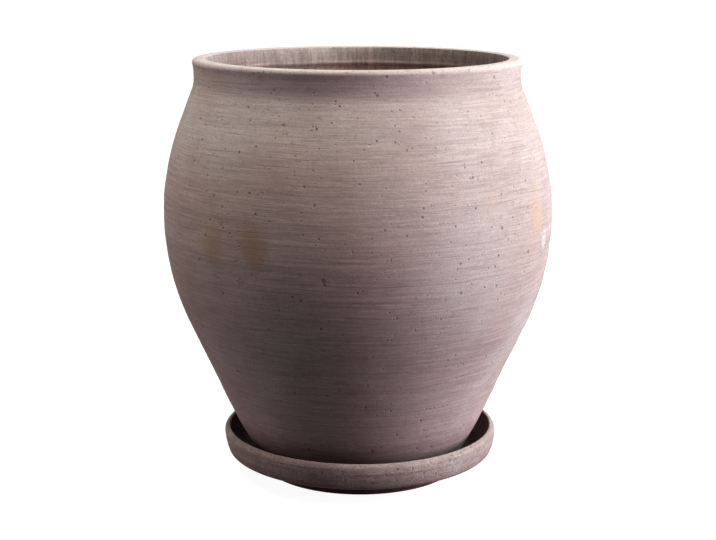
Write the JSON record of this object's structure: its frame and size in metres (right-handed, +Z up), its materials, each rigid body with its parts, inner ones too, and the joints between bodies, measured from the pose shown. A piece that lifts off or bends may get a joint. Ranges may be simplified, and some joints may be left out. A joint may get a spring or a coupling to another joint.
{
  "type": "flower pot with saucer",
  "caption": "Wide-bellied round clay flower pot with a narrow neck, thick flared lip and drain hole, standing in a shallow round clay saucer.",
  "frame": {"origin": "centre of the saucer's foot, on the surface that it stands on", "axes": "+Z up along the axis of the pot and saucer; +X and +Y level, with -Y towards the viewer"},
  "size_m": [0.3499, 0.35, 0.3782],
  "materials": {
    "pot_clay": "matte unglazed grey-pink fired clay with fine turning lines, pores and pale bloom",
    "saucer_clay": "matte unglazed grey-pink fired clay with fine turning lines and pores"
  },
  "bodies": {
    "saucer": {"saucer": "saucer_clay"},
    "pot": {"pot": "pot_clay"}
  },
  "joints": [
    {"name": "pot_lift", "type": "slide", "parent": "saucer", "child": "pot", "axis": [0, 0, 1], "range_m": [0, 0.12]}
  ]
}
